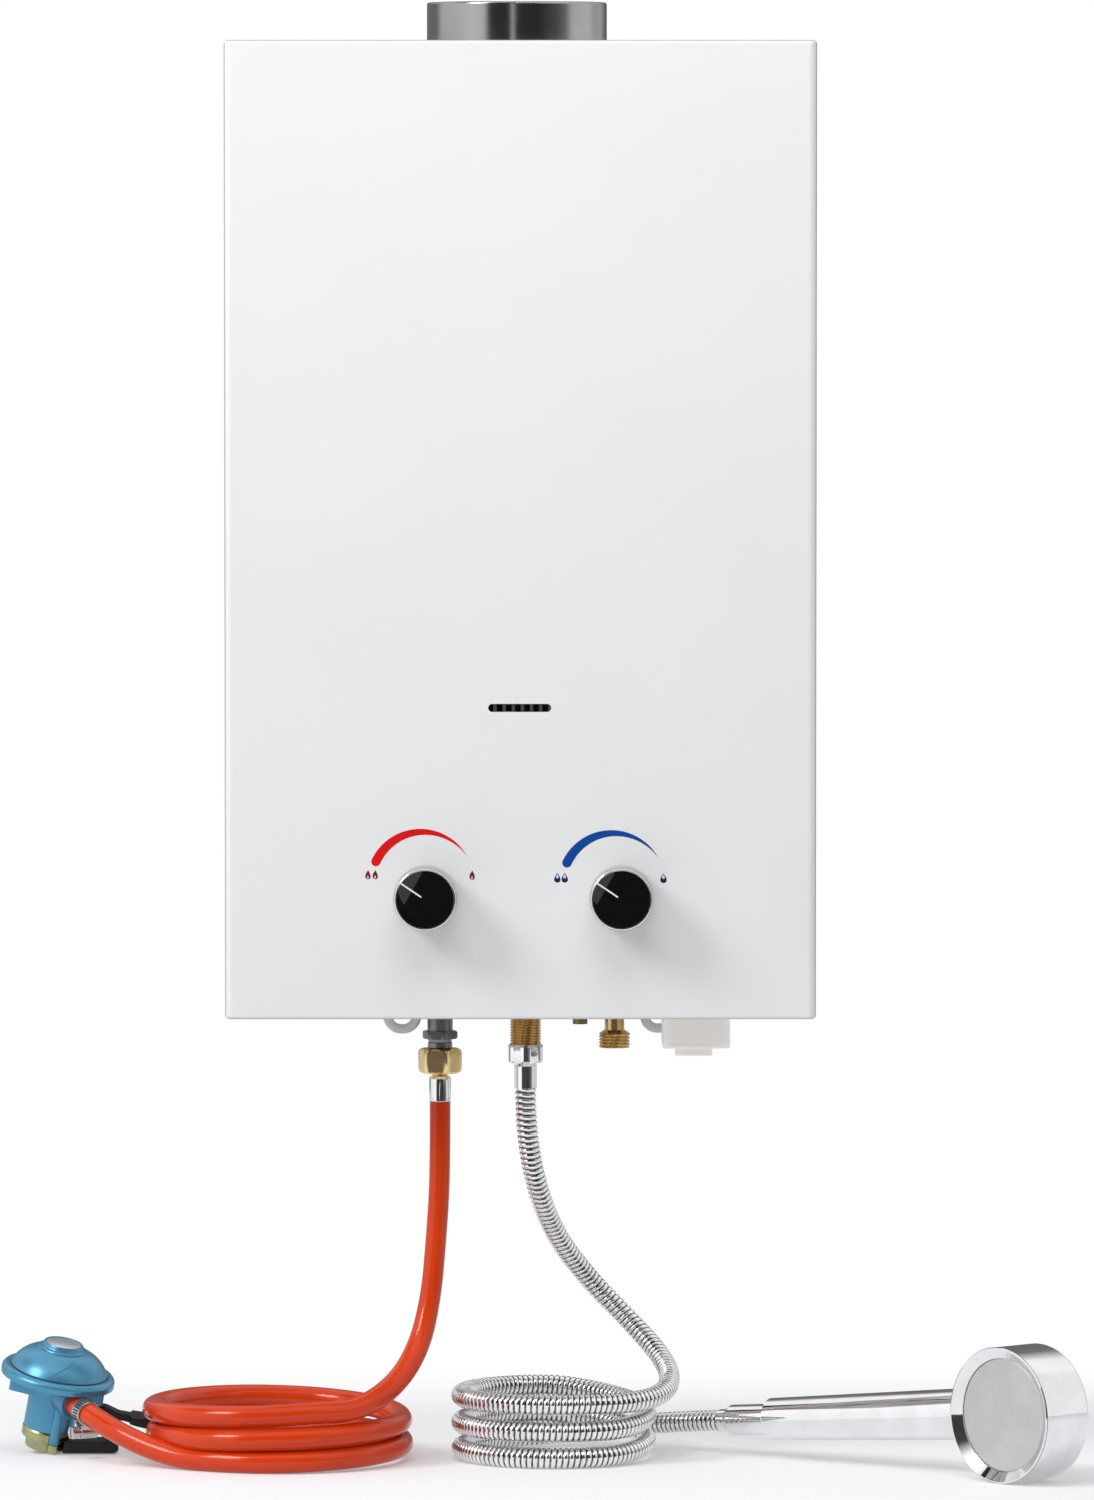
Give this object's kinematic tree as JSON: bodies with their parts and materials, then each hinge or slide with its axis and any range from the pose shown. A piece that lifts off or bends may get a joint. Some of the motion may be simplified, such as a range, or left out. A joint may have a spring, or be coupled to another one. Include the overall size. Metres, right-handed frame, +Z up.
{
  "type": "portable gas water heater",
  "caption": "Wall-hung portable gas water heater with two knobs, flue collar, orange gas hose with regulator, and a coiled shower hose with hand shower.",
  "frame": {"origin": "middle of the two upper wall holes, on the wall plane", "axes": "+X to the right seen from the front, +Y into the wall, +Z up"},
  "size_m": [0.7228, 0.2565, 0.974],
  "materials": {
    "pan_steel": "white coated sheet",
    "case_plastic": "milky translucent",
    "cell_jacket": "printed film",
    "regulator_blue": "metallic lacquer",
    "bar_steel": "stainless",
    "tray_steel": "aluminised",
    "screw_steel": "zinc plated",
    "shower_chrome": "polished",
    "clamp_steel": "stainless",
    "contact_steel": "nickel plated",
    "copper": "bare copper",
    "coupling_gold": "yellow passivated",
    "ceramic": "fired",
    "collar_enamel": "black baked enamel",
    "cover_enamel": "white baked enamel",
    "galvanised": "galvanised",
    "plated_grey": "zinc plated",
    "manifold_aluminium": "die-cast",
    "valve_aluminium": "die-cast",
    "igniter_plastic": "moulded",
    "knob_chrome": "polished",
    "knob_glass": "polished black",
    "lead_plastic": "soft sleeve",
    "lever_plastic": "moulded",
    "orange_hose": "extruded",
    "spray_plate": "satin grey",
    "rod_steel": "ground",
    "diaphragm_rubber": "moulded",
    "spiral_chrome": "polished spiral",
    "brass": "cast",
    "grille_steel": "satin"
  },
  "bodies": {
    "casing": {"front_cover": "cover_enamel", "back_pan": "pan_steel", "casing_screws": "screw_steel", "flue_collar": "collar_enamel", "fume_hood": "galvanised", "heat_exchanger": "copper", "exchanger_tube": "copper", "combustion_chamber": "copper", "chamber_coil": "copper", "burner_tray": "tray_steel", "burner_bars": "bar_steel", "window_grille": "grille_steel", "gas_manifold": "manifold_aluminium", "gas_valve": "valve_aluminium", "water_valve": "brass", "igniter_box": "igniter_plastic", "electrodes": "ceramic", "gas_inlet": "plated_grey", "gas_union_nut": "brass", "gas_hose_tail": "brass", "gas_hose_ferrule": "shower_chrome", "hot_outlet": "brass", "shower_hose_nut": "shower_chrome", "shower_hose_ferrule": "shower_chrome", "cold_inlet": "brass", "drain_plug": "brass", "cold_pipe": "copper", "hot_pipe": "copper", "battery_case": "case_plastic", "battery_cells": "cell_jacket", "battery_contacts": "contact_steel", "battery_lead": "lead_plastic", "sensor_lead": "lead_plastic", "regulator_dome": "regulator_blue", "regulator_cap": "regulator_blue", "regulator_body": "regulator_blue", "regulator_diaphragm": "diaphragm_rubber", "regulator_coupling": "coupling_gold", "hose_clamp": "clamp_steel", "clamp_screw": "clamp_steel", "gas_hose_drop": "orange_hose", "gas_hose_coil": "orange_hose", "gas_hose_run": "orange_hose", "shower_hose_drop": "spiral_chrome", "shower_hose_coil": "spiral_chrome", "shower_hose_run": "spiral_chrome", "shower_cone_nut": "shower_chrome", "shower_body": "shower_chrome", "shower_bezel": "shower_chrome", "shower_face_plate": "spray_plate"},
    "gas_knob_body": {"gas_knob": "knob_chrome", "gas_knob_glass": "knob_glass", "gas_spindle": "rod_steel"},
    "water_knob_body": {"water_knob": "knob_chrome", "water_knob_glass": "knob_glass", "water_spindle": "rod_steel"},
    "battery_lid_body": {"battery_lid": "case_plastic", "lid_contact": "contact_steel"},
    "push_rod_body": {"push_rod": "rod_steel"},
    "regulator_lever_body": {"regulator_lever": "lever_plastic"}
  },
  "joints": [
    {"name": "gas_knob_turn", "type": "hinge", "parent": "casing", "child": "gas_knob_body", "pos_m": [-0.0625, -0.17, -0.5776], "axis": [0, 1, 0], "range_deg": [0, 100]},
    {"name": "water_knob_turn", "type": "hinge", "parent": "casing", "child": "water_knob_body", "pos_m": [0.0665, -0.17, -0.5776], "axis": [0, 1, 0], "range_deg": [0, 100]},
    {"name": "push_rod_slide", "type": "slide", "parent": "casing", "child": "push_rod_body", "axis": [-1, 0, 0], "range_m": [0, 0.004], "stiffness_N_per_m": 400, "springref_m": -0.002},
    {"name": "battery_lid_swing", "type": "hinge", "parent": "casing", "child": "battery_lid_body", "pos_m": [0.1166, -0.0518, -0.6792], "axis": [1, 0, 0], "range_deg": [0, 95]},
    {"name": "regulator_lever_turn", "type": "hinge", "parent": "casing", "child": "regulator_lever_body", "pos_m": [-0.31124, -0.04065, -0.90679], "axis": [0.1809, -0.1826, 0.9664], "range_deg": [0, 90]}
  ]
}
